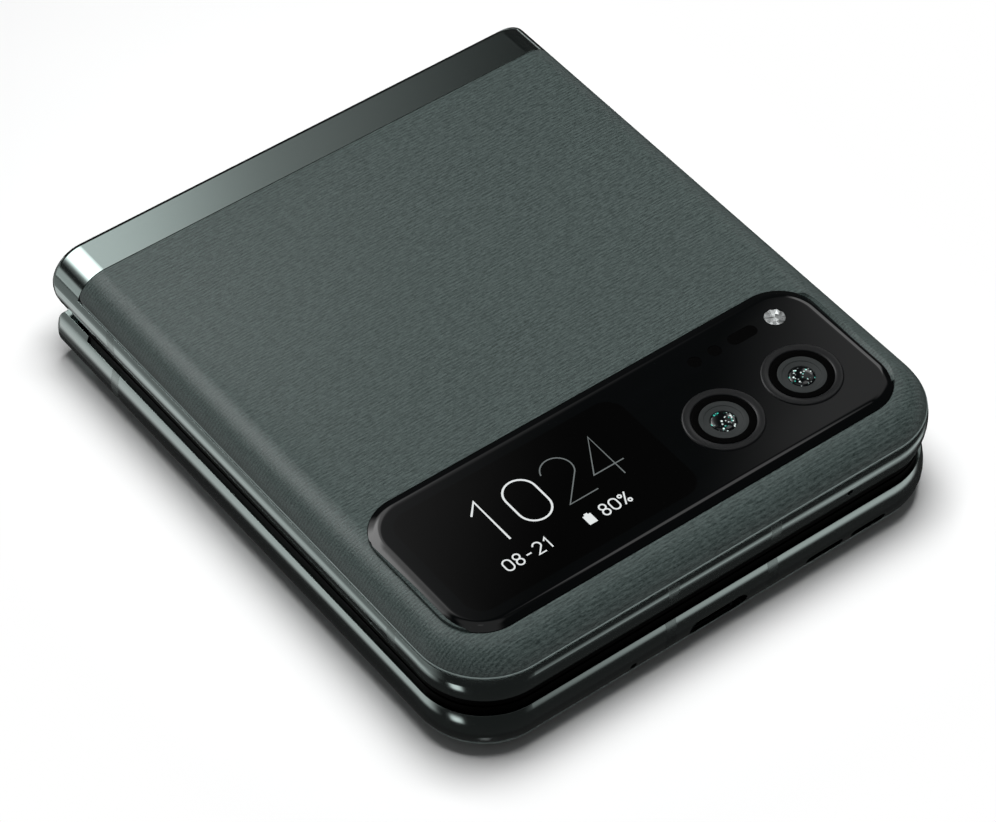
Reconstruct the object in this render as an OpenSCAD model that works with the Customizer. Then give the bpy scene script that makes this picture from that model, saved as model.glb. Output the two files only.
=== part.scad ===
// Foldable clamshell phone, closed, resting on its leather back
/* [Body] */
// Width across the hinge axis
body_w = 73.95; // [70:0.05:80]
// Length of one half from its front edge to its hinge end
half_l = 85.41; // [80:0.01:95]
// Thickness of one half from display plane to leather
half_t = 7.7; // [7.6:0.1:8.2]
// Gap between the two display planes when closed
fold_gap = 1.6; // [1.2:0.1:2]
// Plan radius of the front corners
corner_r = 9.5; // [8.5:0.1:10]
// Radius of the rolled outer edge
roll_r = 4.3; // [3.8:0.1:4.6]
// How far the leather of the upper half comes down the rolled edge
flip_skirt = 3.05; // [2.9:0.05:3.4]
// How far the leather of the lower half comes up the rolled edge
base_skirt = 1.95; // [1.8:0.05:2]
// Width of the metal band at the hinge end
band_l = 5.5; // [4.5:0.1:6]
// Thickness of the leather
leather_t = 0.5; // [0.4:0.05:0.6]
// Thickness of the back cover under the leather
cover_t = 0.7; // [0.6:0.05:0.8]
/* [Hinge] */
// Distance between the two hinge axes
axis_gap = 4.6; // [4.4:0.05:4.8]
// How far the spine stands out behind the halves
spine_out = 2.83; // [2.5:0.01:3.2]
// Length of the spine
spine_w = 67; // [64:0.5:67]
// Wall of the spine
spine_t = 0.8; // [0.7:0.05:0.9]
// Radius of a hinge pin
pin_r = 0.45; // [0.4:0.01:0.5]
/* [Cover window] */
// Width of the cover glass
glass_w = 66.2; // [62:0.1:66.4]
// Depth of the cover glass front to back
glass_l = 23.4; // [22:0.1:24]
// Plan radius of the glass corners
glass_r = 5.8; // [5:0.1:7]
// Height of the glass above the leather
glass_up = 0.45; // [0.3:0.05:0.8]
// Outer radius of a camera ring
ring_r = 5.05; // [4.5:0.05:5.2]
// Height of a camera ring above the glass
ring_up = 0.2; // [0.1:0.05:0.6]
/* [Openings] */
// Width of the charging port opening
port_w = 8.7; // [8.4:0.1:9.2]
// Height of the charging port opening
port_h = 2.6; // [2.4:0.1:2.6]
// Width of an antenna band
antenna_w = 1.5; // [1:0.1:2]
// Distance that the side key is pressed in
key_travel = 0.3; // [0.2:0.05:0.4]
/* [Hidden] */
$fn = 64;
eps = 0.01;

// Body: u is the distance in from an edge, w the depth below a display plane
front_y = -(half_l + spine_out) / 2;
end_y = front_y + half_l;
seam_y = end_y - band_l;
wide_w = half_t - roll_r;
flip_lip_w = half_t - flip_skirt;
base_lip_w = half_t - base_skirt;
inner_roll_r = 9;
metal_w = 0.55;
ear_w = -0.25;
ear_l = band_l + 0.7;
wall_u = 2.6;
bay_x = body_w / 2 - wall_u;
bay_y = front_y + wall_u;
bay_w = half_t - leather_t - cover_t;
plate_w = 0.65;
floor_w = 1.6;
seam_gap = 0.06;
fit = 0.1;
beyond = 1;

// Inner display and its rim
panel_t = 0.4;
panel_u = 2.45;
ear_u = panel_u - fit;
bezel_u = 0.8;
bezel_l = 1.3;
rim_gap = 0.4;
bezel_up = (fold_gap - rim_gap) / 2;

// Hinge: two parallel axes, one in each half
open_gap = 0.2;
axis_y = end_y + open_gap / 2 - axis_gap / 2;
axis_w = (axis_gap - fold_gap) / 2;
mid_z = half_t + fold_gap / 2;
low_z = mid_z - axis_gap / 2;
high_z = mid_z + axis_gap / 2;
tip_r = end_y - axis_y;
spine_r = spine_out + tip_r;
shell_r = spine_r - spine_t;
pocket_r = spine_r + 0.15;
pocket_w = spine_w + 0.3;
spine_lip_y = axis_y + 1.3;
bore_r = pin_r + 0.05;
knuckle_r = pin_r + 0.45;
fold_r = axis_gap / 2 - axis_w + panel_t / 2;
fold_y = axis_y + axis_w - panel_t / 2;
plate_end_y = axis_y - 1.5;
plate_u = wall_u + fit;
arm_y = axis_y - 10;
arm_t = 0.8;
block_y = axis_y - 5.7;
module_x = [-22, 0, 22];
knuckle_x = [-4.7, 1];
lug_x = [-6, 6];
lug_l = 1.2;
slider_x = [1.2, 2.6];
spring_x = [4, 6];
lug_y = axis_y + 2.75;
beam_y = axis_y + 3.3;
lug_end_y = axis_y + shell_r - 0.33;

// Boards lie on bosses and are held by screws
boss_w = floor_w + 0.5;
board_w = boss_w + 0.7;
boss_r = 1.6;
screw_r = 0.6;
head_r = 1.2;
head_t = 0.5;
thread_w = 1;
screw_in = 2;
base_board_in = 3.4;
base_board_x = bay_x - base_board_in;
base_board_front = 7.6;
base_board_l = 20.5;
base_board_y = [front_y + base_board_front, front_y + base_board_front + base_board_l];
tab_x = 12;
tab_l = 6;
front_screw_in = 3.5;
back_screw_in = 3;
base_screw_xy = [
  [-base_board_x + screw_in, base_board_y[0] + front_screw_in],
  [tab_x - screw_in, base_board_y[0] + front_screw_in],
  [-base_board_x + screw_in, base_board_y[1] - back_screw_in],
  [base_board_x - screw_in, base_board_y[1] - back_screw_in]
];
main_board_in = 2.4;
main_board_x = bay_x - main_board_in;
main_board_front = 4.2;
main_board_l = 30.4;
main_board_y = [front_y + main_board_front, front_y + main_board_front + main_board_l];
edge_screw_in = 1.5;
mid_screw = [3.4, 5];
front_screw = [-10, 1.8];
flip_screw_xy = [
  [-main_board_x + screw_in, main_board_y[1] - edge_screw_in],
  [main_board_x - screw_in, main_board_y[1] - edge_screw_in],
  [front_screw[0], main_board_y[0] + front_screw[1]],
  [mid_screw[0], main_board_y[1] - mid_screw[1]]
];
shield_h = 1.8;
left_shield_x = [-17, -6];
left_shield_in = [3.4, 7.5];
right_shield_x = [8, 28];
right_shield_in = [7, 3.5];
battery_in = 4.4;
battery_x = bay_x - battery_in;
battery_w = bay_w - 0.6;
battery_end_y = arm_y - 1.1;
coil_r = [12, 20];
coil_t = 0.3;
magnet_x = bay_x - 3.4;
magnet_y = front_y + 7.5;

// Openings in the front edge of the lower half
shell_w = 8.94;
shell_h = 3.16;
shell_t = 0.3;
shell_l = 6;
tongue_x = 3.35;
tongue_t = 0.7;
port_d = board_w + shell_h / 2;
speaker_x = [[13.5, 19.2], [20.5, 25.9]];
speaker_h = 1.2;
speaker_box_x = [13, bay_x - 6.375];
speaker_box_end_y = front_y + 12.6;
mesh_t = 0.2;
mesh_u = 0.4;
motor_x = [-26, -17];
motor_in = 1.5;
motor_l = 4;
motor_h = 3;
mic_x = -12.8;
mic_r = 0.5;
mic_box_x = 1.7;
mic_box_l = 2.4;
mic_box_w = 0.8;

// Antenna bands
front_antenna_x = [-7.2, 8.2];
side_antenna_y = end_y - 12.8;
flip_antenna_y = front_y + 14.6;

// Openings in the edges of the upper half
upper_mic_x = 19.6;
upper_mic_w = 2.4;
upper_mic_r = 0.45;
ear_slot_x = 3.5;
ear_slot_u = [1.2, 1.8];
ear_slot_w = [1.9, 2.6];
receiver_x = 6;
receiver_l = 1.4;
inner_camera_y = front_y + 6.8;
inner_camera_r = 1.8;
camera_foot_r = 2.6;
key_u = wall_u - key_travel - 0.4;
key_gap = 0.1;
key_w = [flip_lip_w - 2.5, flip_lip_w - 0.3];
volume_y = [front_y + 29, front_y + 49];
power_y = [side_antenna_y - 17.6, side_antenna_y - 3.6];
contact_t = 0.25;
tray_y = [front_y + 16.5, front_y + 29.7];
tray_w = [1.25, 2.55];
tray_gap = 0.08;
tray_l = 15.2;
tray_lip_x = -body_w / 2 + 2.2;
tray_end_x = -bay_x + tray_l - 0.2;
card_x = [-bay_x + 1.5, tray_end_x - 1.2];
card_y = [tray_y[0] + 3.4, tray_y[1] - 1];
card_w = tray_w[0] + 0.4;
eject_y = front_y + 18.8;
eject_r = 0.35;
holder_y = [tray_y[0] - 0.7, tray_y[1] + 0.7];
holder_w = [tray_w[0] - 0.1, tray_w[1] + 0.75];
holder_x = -bay_x + tray_l + 0.8;

// Cover window and what lies in it
glass_front = 4.7;
glass_y = front_y + glass_front + glass_l / 2;
seat_t = 0.25;
seat_u = 1.6;
glass_w0 = half_t - leather_t + seat_t;
glass_w1 = half_t + glass_up;
wide_x = glass_w / 2 - 9.4;
lens_pitch = 12.1;
main_x = wide_x - lens_pitch;
lens_y = front_y + 14.2;
lens_r = 3;
barrel_r = 3.1;
ring_hole_r = 4;
camera_w = floor_w + 4.2;
camera_size = [9.4, 8.8];
sensor_y = glass_y + glass_l / 2 - 4.55;
light_x = wide_x - 8.9;
cover_mic_x = wide_x - 5.8;
focus_x = wide_x - 1.5;
focus_l = 2.5;
flash_x = wide_x + 3.6;
dot_r = 0.88;
flash_r = 1.35;
plug_w = glass_w0 - 0.4;
screen_x = [-glass_w / 2 + 3.2, main_x - 8.2];
screen_y = glass_l / 2 - 2.8;
screen_t = 0.9;

// Place a half that is drawn in depth coordinates
module lower() {
  translate([0, 0, half_t]) mirror([0, 0, 1]) children();
}

module upper() {
  translate([0, 0, half_t + fold_gap]) children();
}

// Section of the rounded side between two depths
module side_outline(u1, w0, w1) {
  if (w1 > wide_w) intersection() {
    translate([roll_r, wide_w]) circle(roll_r);
    translate([0, wide_w]) square([u1, w1 - wide_w]);
  }
  if (w0 < wide_w) intersection() {
    translate([inner_roll_r, wide_w]) circle(inner_roll_r);
    translate([0, w0]) square([u1, min(w1, wide_w) - w0]);
  }
}

// Section of a shell under the rolled edge
module roll_shell(r_out, r_in, w0) {
  difference() {
    intersection() {
      translate([roll_r, wide_w]) circle(r_out);
      translate([0, w0]) square([roll_r, half_t - w0]);
    }
    translate([roll_r, wide_w]) circle(r_in);
  }
}

// Sweep a side section round the left, front and right edges
module sweep(y_to) {
  side_l = y_to - front_y - corner_r;
  for (side = [0, 1]) mirror([side, 0, 0]) {
    translate([-body_w / 2, y_to, 0])
      rotate([90, 0, 0])
        linear_extrude(side_l) children();
    translate([-body_w / 2 + corner_r, front_y + corner_r, 0])
      rotate([0, 0, 180])
        rotate_extrude(angle = 90)
          translate([corner_r, 0]) mirror([1, 0]) children();
  }
  translate([-body_w / 2 + corner_r, front_y, 0])
    rotate([90, 0, 90])
      linear_extrude(body_w - 2 * corner_r) children();
}

// Plan of a half drawn in from its edge
module plan(inset, y_to) {
  half_w = body_w / 2 - inset;
  r = corner_r - inset;
  translate([-half_w, front_y + corner_r]) square([2 * half_w, y_to - front_y - corner_r]);
  translate([-body_w / 2 + corner_r, front_y + inset]) square([body_w - 2 * corner_r, r + eps]);
  for (x = [-1, 1]) {
    translate([x * (body_w / 2 - corner_r), front_y + corner_r]) circle(r);
  }
}

module slab(inset, y_to, w0, w1) {
  translate([0, 0, w0]) linear_extrude(w1 - w0) plan(inset, y_to);
}

module block(x0, x1, y0, y1, w0, w1) {
  translate([x0, y0, w0]) cube([x1 - x0, y1 - y0, w1 - w0]);
}

module rod_x(y, w, r, x0, x1) {
  translate([x0, y, w]) rotate([0, 90, 0]) cylinder(r = r, h = x1 - x0);
}

module rounded_plan(w, l, r) {
  square([w - 2 * r, l], center = true);
  square([w, l - 2 * r], center = true);
  for (x = [-1, 1], y = [-1, 1]) {
    translate([x * (w / 2 - r), y * (l / 2 - r)]) circle(r);
  }
}

// Round ended slot that runs front to back
module slot_y(x, w, width, height, y0, y1) {
  r = height / 2;
  translate([x, y1, w]) rotate([90, 0, 0]) linear_extrude(y1 - y0) {
    square([width - 2 * r, height], center = true);
    for (side = [-1, 1]) translate([side * (width / 2 - r), 0]) circle(r);
  }
}

module front_slot(x, w, width, height) {
  slot_y(x, w, width, height, front_y - beyond, bay_y + beyond);
}

// Hinge end section with the rolled sides and the raised ears
module band_section() {
  for (side = [0, 1]) mirror([side, 0]) translate([-body_w / 2, 0]) {
    side_outline(roll_r, wide_w, half_t);
    side_outline(ear_u, ear_w, wide_w);
    translate([ear_u - eps, plate_w]) square([roll_r - ear_u + eps, wide_w - plate_w]);
  }
  translate([-body_w / 2 + roll_r - eps, plate_w])
    square([body_w - 2 * roll_r + 2 * eps, half_t - plate_w]);
}

module ear_section() {
  for (side = [0, 1]) mirror([side, 0]) {
    translate([-body_w / 2, 0]) side_outline(ear_u, ear_w, metal_w);
  }
}

// Room for the spine, with the halves' inner corners rounded about the axis
module hinge_pocket() {
  px = pocket_w / 2;
  deep = half_t + pocket_r;
  difference() {
    union() {
      rod_x(axis_y, axis_w, pocket_r, -px, px);
      block(-px, px, axis_y, end_y + beyond, axis_w, axis_w + pocket_r);
    }
    block(-px - beyond, px + beyond, axis_y - deep, plate_end_y, -deep, floor_w);
  }
  block(-px, px, plate_end_y, end_y + beyond, -beyond, axis_w);
  difference() {
    block(-body_w, body_w, axis_y, end_y + beyond, -beyond, axis_w);
    rod_x(axis_y, axis_w, tip_r, -body_w - beyond, body_w + beyond);
  }
}

module arm_slots() {
  for (x = module_x) {
    block(x + knuckle_x[0] - 2 * fit, x + knuckle_x[1] + 2 * fit, arm_y - 2 * fit, axis_y - 3,
      floor_w, floor_w + arm_t + 2 * fit);
  }
}

// Shared metal frame of a half before its openings are cut
module frame_body(lip_w) {
  difference() {
    union() {
      sweep(seam_y) side_outline(wall_u, metal_w, lip_w);
      slab(ear_u, seam_y, plate_w, floor_w);
      block(-body_w / 2 + roll_r, body_w / 2 - roll_r, block_y, seam_y, plate_w, bay_w);
      translate([0, end_y, 0]) rotate([90, 0, 0]) linear_extrude(band_l) band_section();
      translate([0, seam_y, 0]) rotate([90, 0, 0]) linear_extrude(ear_l - band_l) ear_section();
    }
    hinge_pocket();
    arm_slots();
  }
}

module side_antenna_cut(side, y) {
  x_out = body_w / 2 + beyond;
  x0 = side < 0 ? -x_out : bay_x;
  block(x0, x0 + wall_u + beyond, y - antenna_w / 2, y + antenna_w / 2, 0, bay_w);
}

module antenna_cuts() {
  for (side = [-1, 1]) side_antenna_cut(side, side_antenna_y);
  for (x = front_antenna_x) {
    block(x - antenna_w / 2, x + antenna_w / 2, front_y - beyond, bay_y, 0, bay_w);
  }
}

module bosses(places) {
  for (p = places) {
    translate([p[0], p[1], floor_w - eps]) cylinder(r = boss_r, h = boss_w - floor_w + eps);
  }
}

module screw_holes(places) {
  for (p = places) translate([p[0], p[1], thread_w]) cylinder(r = screw_r, h = bay_w);
}

module screws(places) {
  for (p = places) translate([p[0], p[1], thread_w]) {
    cylinder(r = screw_r, h = board_w - thread_w + eps);
    translate([0, 0, board_w - thread_w]) cylinder(r = head_r, h = head_t);
  }
}

module leather_shell(lip_w) {
  sweep(seam_y - seam_gap) roll_shell(roll_r, roll_r - leather_t, lip_w);
  slab(roll_r - eps, seam_y - seam_gap, half_t - leather_t, half_t);
}

module cover_shell(lip_w) {
  sweep(seam_y - seam_gap) roll_shell(roll_r - leather_t, roll_r - leather_t - cover_t, lip_w);
  slab(roll_r - eps, seam_y - seam_gap, bay_w, half_t - leather_t);
}

// Raised rim of the inner display
module bezel() {
  sweep(end_y - ear_l - seam_gap) {
    translate([bezel_u, -bezel_up]) square([ear_u - bezel_u, bezel_up + metal_w]);
    translate([ear_u - eps, -bezel_up]) square([bezel_l, bezel_up]);
  }
}

module magnet_bars() {
  for (side = [-1, 1]) translate([side * magnet_x - 2.2, magnet_y, floor_w]) cube([4.4, 1.5, 0.35]);
}

// One arm in each hinge module, knuckled on its own pin
module hinge_arms() {
  for (x = module_x) difference() {
    union() {
      block(x + knuckle_x[0], x + knuckle_x[1], arm_y, axis_y - 0.3, floor_w, floor_w + arm_t);
      rod_x(axis_y, axis_w, knuckle_r, x + knuckle_x[0], x + knuckle_x[1]);
    }
    rod_x(axis_y, axis_w, bore_r, x + knuckle_x[0] - beyond, x + knuckle_x[1] + beyond);
  }
}

// Lower half
module base_frame() {
  color("slategray") lower() difference() {
    union() {
      frame_body(base_lip_w);
      bosses(base_screw_xy);
    }
    antenna_cuts();
    front_slot(0, port_d, port_w, port_h);
    for (s = speaker_x) front_slot((s[0] + s[1]) / 2, port_d, s[1] - s[0], speaker_h);
    front_slot(mic_x, port_d, 2 * mic_r + eps, 2 * mic_r);
    screw_holes(base_screw_xy);
  }
}

module base_antenna_bands() {
  color("dimgray") lower() intersection() {
    sweep(seam_y) side_outline(wall_u, metal_w, base_lip_w);
    antenna_cuts();
  }
}

module base_leather() {
  color("darkslategray") lower() leather_shell(base_lip_w);
}

module base_back_cover() {
  color("black") lower() cover_shell(base_lip_w);
}

module base_battery() {
  color("silver") lower()
    block(-battery_x, battery_x, base_board_y[1] + 1, battery_end_y, floor_w, battery_w);
}

module charging_coil() {
  coil_y = (base_board_y[1] + 1 + battery_end_y) / 2;
  color("peru") lower() translate([0, coil_y, battery_w]) difference() {
    cylinder(r = coil_r[1], h = coil_t);
    translate([0, 0, -beyond]) cylinder(r = coil_r[0], h = coil_t + 2 * beyond);
  }
}

module base_bezel() {
  color("black") lower() bezel();
}

module base_display() {
  color("black") lower() slab(panel_u, fold_y, 0, panel_t);
}

module base_display_plate() {
  color("silver") lower() slab(plate_u, plate_end_y, panel_t, plate_w);
}

module sub_board() {
  color("darkgreen") lower() difference() {
    union() {
      block(-base_board_x, tab_x, base_board_y[0], base_board_y[1], boss_w, board_w);
      block(tab_x - eps, base_board_x, base_board_y[0] + tab_l, base_board_y[1], boss_w, board_w);
    }
    screw_holes(base_screw_xy);
  }
}

module usb_shell() {
  color("silver") lower() difference() {
    slot_y(0, port_d, shell_w, shell_h, bay_y, bay_y + shell_l);
    slot_y(0, port_d, shell_w - 2 * shell_t, shell_h - 2 * shell_t, bay_y - beyond,
      bay_y + shell_l - 1);
  }
}

module usb_tongue() {
  color("black") lower() block(-tongue_x, tongue_x, front_y + 1, bay_y + shell_l - 1,
    port_d - tongue_t / 2, port_d + tongue_t / 2);
}

module loudspeaker() {
  color("black") lower() block(speaker_box_x[0], speaker_box_x[1], bay_y + mesh_t,
    speaker_box_end_y, floor_w, bay_w - 0.7);
}

module speaker_mesh() {
  color("dimgray") lower() for (s = speaker_x) {
    block(s[0] - mesh_u, s[1] + mesh_u, bay_y, bay_y + mesh_t, port_d - 1, port_d + 1);
  }
}

module vibration_motor() {
  y0 = base_board_y[0] + motor_in;
  color("silver") lower()
    block(motor_x[0], motor_x[1], y0, y0 + motor_l, board_w, board_w + motor_h);
}

module base_microphone() {
  color("gold") lower() block(mic_x - mic_box_x, mic_x + mic_box_x, bay_y, bay_y + mic_box_l,
    port_d - mic_box_w, port_d + mic_box_w);
}

module base_screws() {
  color("silver") lower() screws(base_screw_xy);
}

module base_magnets() {
  color("silver") lower() magnet_bars();
}

module base_hinge_arms() {
  color("silver") lower() hinge_arms();
}

// Hinge
module spine_round(r, x0, x1) {
  rod_x(axis_y, low_z, r, x0, x1);
  rod_x(axis_y, high_z, r, x0, x1);
  block(x0, x1, axis_y, axis_y + r, low_z, high_z);
}

module hinge_spine() {
  s = spine_w / 2;
  far = 2 * spine_r;
  color("slategray") {
    difference() {
      spine_round(spine_r, -s, s);
      spine_round(shell_r, -s - beyond, s + beyond);
      block(-s - beyond, s + beyond, axis_y - far, spine_lip_y, mid_z - far, mid_z + far);
    }
    for (x = [-s, s - spine_t]) intersection() {
      spine_round(shell_r + eps, x, x + spine_t);
      block(x - beyond, x + spine_t + beyond, lug_y, axis_y + far, mid_z - far, mid_z + far);
    }
  }
}

// Plate across both axes, cut by its children
module lug_plate(x0, x1, y_to) {
  difference() {
    union() {
      pin_pair(knuckle_r, x0, x1);
      block(x0, x1, axis_y, lug_y + eps, low_z - knuckle_r, low_z + 0.2);
      block(x0, x1, axis_y, lug_y + eps, high_z - 0.2, high_z + knuckle_r);
      block(x0, x1, lug_y, y_to, low_z - knuckle_r, high_z + knuckle_r);
    }
    children();
  }
}

module pin_pair(r, x0, x1) {
  for (z = [low_z, high_z]) rod_x(axis_y, z, r, x0, x1);
}

module hinge_housings() {
  color("dimgray") for (x = module_x) {
    for (x0 = lug_x) {
      lug_plate(x + x0, x + x0 + lug_l, lug_end_y) {
        pin_pair(pin_r, x + x0 - beyond, x + x0 + lug_l + beyond);
      }
    }
    block(x + lug_x[0] + lug_l - eps, x + lug_x[1] + eps, beam_y, axis_y + shell_r, low_z, high_z);
  }
}

module hinge_pins() {
  color("silver") for (x = module_x) pin_pair(pin_r, x + lug_x[0], x + lug_x[1] + lug_l);
}

module hinge_springs() {
  color("silver") for (x = module_x) difference() {
    pin_pair(knuckle_r - 0.1, x + spring_x[0], x + spring_x[1]);
    pin_pair(pin_r, x + spring_x[0] - beyond, x + spring_x[1] + beyond);
  }
}

module cam_sliders() {
  color("gold") for (x = module_x) {
    lug_plate(x + slider_x[0], x + slider_x[1], beam_y - fit) {
      pin_pair(bore_r, x, x + spring_x[0]);
    }
  }
}

module display_fold() {
  s = body_w / 2 - panel_u;
  far = 2 * axis_gap;
  color("black") difference() {
    rod_x(fold_y, mid_z, fold_r + panel_t / 2, -s, s);
    rod_x(fold_y, mid_z, fold_r - panel_t / 2, -s - beyond, s + beyond);
    block(-s - beyond, s + beyond, fold_y - far, fold_y, mid_z - far, mid_z + far);
  }
}

// Upper half
module flip_hinge_arms() {
  color("silver") upper() hinge_arms();
}

module key_cut(y) {
  block(bay_x - beyond, body_w / 2 + beyond, y[0] - key_gap, y[1] + key_gap, key_w[0] - key_gap,
    key_w[1] + key_gap);
}

module key(y) {
  intersection() {
    block(body_w / 2 - key_u, body_w / 2 + beyond, y[0], y[1], key_w[0], key_w[1]);
    sweep(seam_y) side_outline(wall_u, metal_w, flip_lip_w);
  }
}

module tray_cut() {
  block(-body_w / 2 - beyond, -bay_x + eps, tray_y[0] - tray_gap, tray_y[1] + tray_gap,
    tray_w[0] - tray_gap, tray_w[1] + tray_gap);
  block(-bay_x, holder_x, holder_y[0], holder_y[1], holder_w[0], bay_w);
}

module ear_channel() {
  block(-ear_slot_x, ear_slot_x, front_y + ear_slot_u[0], front_y + ear_slot_u[1], 0,
    ear_slot_w[1]);
  block(-ear_slot_x, ear_slot_x, front_y + ear_slot_u[0], bay_y + fit, ear_slot_w[0],
    ear_slot_w[1]);
}

module flip_frame() {
  color("slategray") upper() difference() {
    union() {
      frame_body(flip_lip_w);
      bosses(flip_screw_xy);
    }
    antenna_cuts();
    side_antenna_cut(-1, flip_antenna_y);
    key_cut(power_y);
    key_cut(volume_y);
    tray_cut();
    ear_channel();
    front_slot(upper_mic_x, upper_mic_w, 2 * upper_mic_r + eps, 2 * upper_mic_r);
    screw_holes(flip_screw_xy);
    translate([0, inner_camera_y, 0]) cylinder(r = inner_camera_r + 0.4, h = bay_w);
  }
}

module flip_antenna_bands() {
  color("dimgray") upper() intersection() {
    sweep(seam_y) side_outline(wall_u, metal_w, flip_lip_w);
    union() {
      antenna_cuts();
      side_antenna_cut(-1, flip_antenna_y);
    }
  }
}

module glass_plan(grow, w0, w1) {
  translate([0, glass_y, w0]) linear_extrude(w1 - w0)
    rounded_plan(glass_w + 2 * grow, glass_l + 2 * grow, glass_r + grow);
}

module flip_leather() {
  color("darkslategray") upper() difference() {
    leather_shell(flip_lip_w);
    glass_plan(fit, bay_w - beyond, half_t + beyond);
  }
}

module flip_back_cover() {
  color("black") upper() difference() {
    cover_shell(flip_lip_w);
    glass_plan(-seat_u, bay_w - beyond, half_t + beyond);
  }
}

module glass_seat() {
  color("black") upper() difference() {
    glass_plan(0, half_t - leather_t, glass_w0);
    glass_plan(-seat_u, half_t - beyond, half_t + beyond);
  }
}

module plug(x, r, w0 = plug_w, w1 = glass_w1) {
  translate([x, sensor_y, w0]) cylinder(r = r, h = w1 - w0);
}

module focus_shape(w0, w1) {
  translate([focus_x, sensor_y, w0]) linear_extrude(w1 - w0) {
    square([focus_l, 2 * dot_r], center = true);
    for (side = [-1, 1]) translate([side * focus_l / 2, 0]) circle(dot_r);
  }
}

module cover_glass() {
  deep = glass_w0 - beyond;
  color("black") upper() difference() {
    glass_plan(0, glass_w0, glass_w1);
    for (x = [main_x, wide_x]) translate([x, lens_y, deep]) cylinder(r = ring_hole_r, h = 3);
    plug(light_x, dot_r, deep, glass_w1 + beyond);
    plug(cover_mic_x, dot_r, deep, glass_w1 + beyond);
    plug(flash_x, flash_r, deep, glass_w1 + beyond);
    focus_shape(deep, glass_w1 + beyond);
  }
}

module cover_display() {
  color("black") upper() block(screen_x[0], screen_x[1], glass_y - screen_y, glass_y + screen_y,
    glass_w0 - screen_t, glass_w0);
}

module camera_body(x, size) {
  translate([x, lens_y, 0]) {
    translate([-size / 2, -size / 2, floor_w]) cube([size, size, camera_w - floor_w]);
    translate([0, 0, camera_w - eps]) cylinder(r = barrel_r, h = glass_w0 - camera_w + eps);
  }
}

module main_camera() {
  color("dimgray") upper() camera_body(main_x, camera_size[0]);
}

module wide_camera() {
  color("dimgray") upper() camera_body(wide_x, camera_size[1]);
}

module camera_ring(x) {
  ledge_w = glass_w0 + 0.2;
  translate([x, lens_y, 0]) difference() {
    union() {
      translate([0, 0, glass_w0]) cylinder(r = ring_hole_r, h = glass_w1 - glass_w0 + eps);
      translate([0, 0, glass_w1]) cylinder(r = ring_r, h = ring_up);
    }
    translate([0, 0, ledge_w]) cylinder(r = lens_r, h = half_t);
    translate([0, 0, glass_w0 - beyond]) cylinder(r = lens_r - 0.6, h = half_t);
  }
}

module main_camera_ring() {
  color("black") upper() camera_ring(main_x);
}

module wide_camera_ring() {
  color("black") upper() camera_ring(wide_x);
}

module lens(x) {
  translate([x, lens_y, glass_w0 + 0.2]) cylinder(r = lens_r, h = glass_up);
}

module main_lens() {
  color("navy") upper() lens(main_x);
}

module wide_lens() {
  color("navy") upper() lens(wide_x);
}

module flash_led() {
  color("white") upper() plug(flash_x, flash_r);
}

module light_sensor() {
  color("black") upper() plug(light_x, dot_r);
}

module cover_microphone() {
  color("black") upper() plug(cover_mic_x, dot_r);
}

module focus_window() {
  color("black") upper() focus_shape(plug_w, glass_w1);
}

module main_board() {
  camera_u = camera_size[0] / 2 + 3 * fit;
  notch_r = corner_r;
  color("darkgreen") upper() difference() {
    block(-main_board_x, main_board_x, main_board_y[0], main_board_y[1], boss_w, board_w);
    block(main_x - camera_u, wide_x + camera_u, lens_y - camera_u, lens_y + camera_u, 0, bay_w);
    block(-body_w / 2, holder_x + 2 * fit, holder_y[0] - 2 * fit, holder_y[1] + 2 * fit, 0, bay_w);
    translate([0, inner_camera_y, 0]) cylinder(r = camera_foot_r + 2 * fit, h = bay_w);
    screw_holes(flip_screw_xy);
    for (side = [-1, 1]) {
      translate([side * (body_w / 2 - 2), front_y, 0]) cylinder(r = notch_r, h = bay_w);
    }
  }
}

module board_shields() {
  top_w = board_w + shield_h;
  color("silver") upper() {
    block(left_shield_x[0], left_shield_x[1], main_board_y[0] + left_shield_in[0],
      main_board_y[1] - left_shield_in[1], board_w, top_w);
    block(right_shield_x[0], right_shield_x[1], lens_y + right_shield_in[0],
      main_board_y[1] - right_shield_in[1], board_w, top_w);
  }
}

module flip_battery() {
  color("silver") upper()
    block(-battery_x, battery_x, main_board_y[1] + 0.7, battery_end_y, floor_w, battery_w);
}

module flip_bezel() {
  color("black") upper() difference() {
    bezel();
    block(-ear_slot_x, ear_slot_x, front_y + ear_slot_u[0], front_y + ear_slot_u[1],
      -bezel_up - beyond, metal_w + beyond);
  }
}

module flip_display() {
  color("black") upper() difference() {
    slab(panel_u, fold_y, 0, panel_t);
    translate([0, inner_camera_y, -beyond]) cylinder(r = inner_camera_r + 0.1, h = 3);
  }
}

module flip_display_plate() {
  color("silver") upper() difference() {
    slab(plate_u, plate_end_y, panel_t, plate_w);
    translate([0, inner_camera_y, 0]) cylinder(r = inner_camera_r + 0.4, h = 3);
  }
}

module inner_camera() {
  color("navy") upper() translate([0, inner_camera_y, 0]) {
    translate([0, 0, 0.05]) cylinder(r = inner_camera_r, h = floor_w);
    translate([0, 0, floor_w]) cylinder(r = camera_foot_r, h = 2.4);
  }
}

module earpiece() {
  color("dimgray") upper()
    block(-receiver_x, receiver_x, bay_y, bay_y + receiver_l, floor_w, floor_w + 2.6);
}

module flip_screws() {
  color("silver") upper() screws(flip_screw_xy);
}

module flip_magnets() {
  color("silver") upper() magnet_bars();
}

module tray_holder() {
  color("silver") upper() difference() {
    block(-bay_x, holder_x, holder_y[0], holder_y[1], holder_w[0], holder_w[1]);
    block(-bay_x - beyond, -bay_x + tray_l, tray_y[0] - tray_gap, tray_y[1] + tray_gap, 0,
      tray_w[1] + tray_gap);
  }
}

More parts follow.
